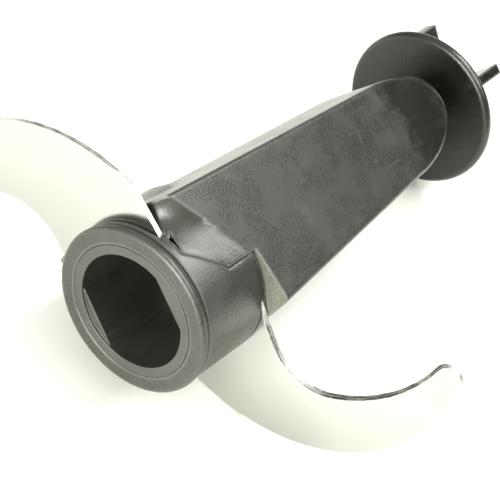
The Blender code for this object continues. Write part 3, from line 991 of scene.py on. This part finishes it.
def table_material(colour):
    """Pale matt table that is see-through from underneath."""
    material, tree, shader, place = blank_material("pale_table", 0.0)
    shader.inputs["Roughness"].default_value = 0.85
    shader.inputs["Specular IOR Level"].default_value = 0.1
    cloud = noise(tree, place, 9.0, 2.0)
    tree.links.new(mix_colour(tree, cloud, shade(colour, 0.985), colour), shader.inputs["Base Color"])
    clear = add_node(tree, "ShaderNodeBsdfTransparent")
    choose = add_node(tree, "ShaderNodeMixShader")
    tree.links.new(add_node(tree, "ShaderNodeNewGeometry").outputs["Backfacing"], choose.inputs["Fac"])
    tree.links.new(shader.outputs["BSDF"], choose.inputs[1])
    tree.links.new(clear.outputs["BSDF"], choose.inputs[2])
    tree.links.new(choose.outputs["Shader"], tree.nodes["Material Output"].inputs["Surface"])
    return material


def table_plane(colour):
    """Large table under the resting blade."""
    middle = BLADE_MIDDLE - (BLADE_MIDDLE.dot(TABLE_UP) + TABLE_DISTANCE) * TABLE_UP
    mesh = bpy.data.meshes.new("table")
    mesh.from_pydata([middle + TABLE_HALF_WIDTH * along_table((x, y, 0.0)) for x, y in SQUARE],
                     [], [(0, 1, 2, 3)])
    mesh.materials.append(table_material(colour))
    return linked("table", mesh)


def photo_camera():
    """Camera at the photograph's angle."""
    camera = linked("camera", bpy.data.cameras.new("camera"))
    turn = Matrix((CAMERA_RIGHT, CAMERA_UP, CAMERA_BACK)).transposed()
    camera.rotation_mode = "QUATERNION"
    camera.rotation_quaternion = turn.to_quaternion()
    camera.location = CAMERA_PLACE
    camera.data.lens = CAMERA_LENS
    camera.data.clip_start = CAMERA_CLIP_START
    return camera


# Operators


class BLADE_OT_mouldings(bpy.types.Operator):
    """Dress the lower shell, the upper body and the drive socket"""
    bl_idname = "blade.mouldings"
    bl_label = "Mouldings"

    def execute(self, context):
        width = context.scene.blade_moulding.edge_rounding
        black = ("satin_black_plastic",)
        # The block's underside takes the pale finish, a painted reflection of the lit table.
        finishes_with_painted_reflection = ("satin_black_plastic", "rubbed_plastic")
        softened_copy("lower_shell", "hub_shell", width, black, notched=True)
        softened_copy("upper_body", "tapered_body", width, finishes_with_painted_reflection, under_block, notched=True)
        softened_copy("drive_socket", "flatted_socket", width, ("socket_black_plastic",))
        return {"FINISHED"}


class BLADE_OT_wings(bpy.types.Operator):
    """Dress the two steel wings"""
    bl_idname = "blade.wings"
    bl_label = "Wings"

    def execute(self, context):
        width = context.scene.blade_steel.edge_rounding
        steel = ("polished_steel", "ground_steel")
        softened_copy("low_wing", "low_cutting_wing", width, steel, on_ground_edge)
        softened_copy("high_wing", "high_cutting_wing", width, steel, on_ground_edge)
        return {"FINISHED"}


class BLADE_OT_burrs(bpy.types.Operator):
    """Lay the wire edge that grinding leaves along both cutting edges"""
    bl_idname = "blade.burrs"
    bl_label = "Ground burrs"

    def execute(self, context):
        trim = context.scene.blade_trim
        values = {"Radius": trim.burr_radius, "Ripple": trim.ripple, "Ripple Scale": 900.0,
                  "Step": 0.0003, "Seed": trim.seed, "Material": finish_named("ground_steel")}
        for node, turned_round in (("high_wing", False), ("low_wing", True)):
            bead(node + "_burr", [(cutting_edge_path(node, turned_round), False)], values)
        return {"FINISHED"}


class BLADE_OT_joint_flash(bpy.types.Operator):
    """Lay the moulding flash along the joints, the chips and slivers where it is torn, and a scratch"""
    bl_idname = "blade.joint_flash"
    bl_label = "Joint flash"

    def execute(self, context):
        trim = context.scene.blade_trim
        finish = finish_named("flash_plastic")
        values = {"Radius": trim.flash_radius, "Ripple": trim.ripple, "Ripple Scale": 700.0,
                  "Step": 0.0004, "Seed": trim.seed + 1, "Material": finish}
        bead("joint_flash", [(joint_path(), True)], values)
        turns = [2 * math.pi * i / SOCKET_GAP_STEPS for i in range(SOCKET_GAP_STEPS)]
        ring = [(SOCKET_GAP_RADIUS * math.cos(turn), SOCKET_GAP_RADIUS * math.sin(turn), SOCKET_GAP_DEPTH)
                for turn in turns]
        values.update({"Radius": 0.9 * trim.flash_radius, "Ripple": 0.3 * trim.ripple,
                       "Ripple Scale": 90.0, "Material": finish_named("socket_black_plastic")})
        bead("socket_flash", [(ring, True)], values)
        chips = {"Seed": trim.seed, "Material": finish}
        chips_on_hub("torn_corner_chips", CORNER_CHIPS, chips)
        chips["Density"] = RAMP_CHIP_DENSITY
        chips_on_hub("ramp_chips", RAMP_CHIPS, chips)
        torn_flash("slot_slivers", trim.seed)
        values.update({"Radius": SCRATCH_RADIUS, "Ripple": trim.ripple, "Ripple Scale": 400.0,
                       "Material": finish})
        bead("face_scratch", [(SCRATCH_POINTS, False)], values)
        return {"FINISHED"}


class BLADE_OT_studio(bpy.types.Operator):
    """Set up the pale table, the room, the soft lights and the camera"""
    bl_idname = "blade.studio"
    bl_label = "Studio"

    def execute(self, context):
        studio = context.scene.blade_studio
        table = table_plane(tuple(studio.table_colour))
        context.scene.world = pale_room(studio.room_light)
        for name, offset, size, setting, share, colour, target in LIGHTS:
            soft_light(name, offset, size, share * getattr(studio, setting), colour, target)
        context.scene.view_settings.view_transform = "Standard"
        context.scene.camera = photo_camera()
        return {"FINISHED"}


class BLADE_PT_dresser(bpy.types.Panel):
    """Buttons for the pieces of the blade"""
    bl_idname = "BLADE_PT_dresser"
    bl_label = "Blade dresser"
    bl_space_type = "VIEW_3D"
    bl_region_type = "UI"
    bl_category = "Blade"

    def draw(self, context):
        layout = self.layout
        for name, _ in SETTINGS:
            settings = getattr(context.scene, name)
            box = layout.box()
            for label in settings.__annotations__:
                box.prop(settings, label)
        for operator in OPERATORS:
            layout.operator(operator.bl_idname)


SETTINGS = (("blade_moulding", MouldingSettings), ("blade_steel", SteelSettings),
            ("blade_trim", TrimSettings), ("blade_studio", StudioSettings))
OPERATORS = (BLADE_OT_mouldings, BLADE_OT_wings, BLADE_OT_burrs, BLADE_OT_joint_flash,
             BLADE_OT_studio)


def register():
    """Add the settings, the operators and the panel to Blender."""
    for name, settings in SETTINGS:
        bpy.utils.register_class(settings)
        setattr(bpy.types.Scene, name, bpy.props.PointerProperty(type=settings))
    for operator in OPERATORS:
        bpy.utils.register_class(operator)
    bpy.utils.register_class(BLADE_PT_dresser)


def unregister():
    """Take them away again."""
    bpy.utils.unregister_class(BLADE_PT_dresser)
    for operator in reversed(OPERATORS):
        bpy.utils.unregister_class(operator)
    for name, settings in reversed(SETTINGS):
        delattr(bpy.types.Scene, name)
        bpy.utils.unregister_class(settings)


def main():
    """Dress the blade and set up its studio."""
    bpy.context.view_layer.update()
    register()
    bpy.ops.blade.mouldings()
    bpy.ops.blade.wings()
    bpy.ops.blade.burrs()
    bpy.ops.blade.joint_flash()
    bpy.ops.blade.studio()
    bpy.context.view_layer.update()


if __name__ == "__main__":
    main()
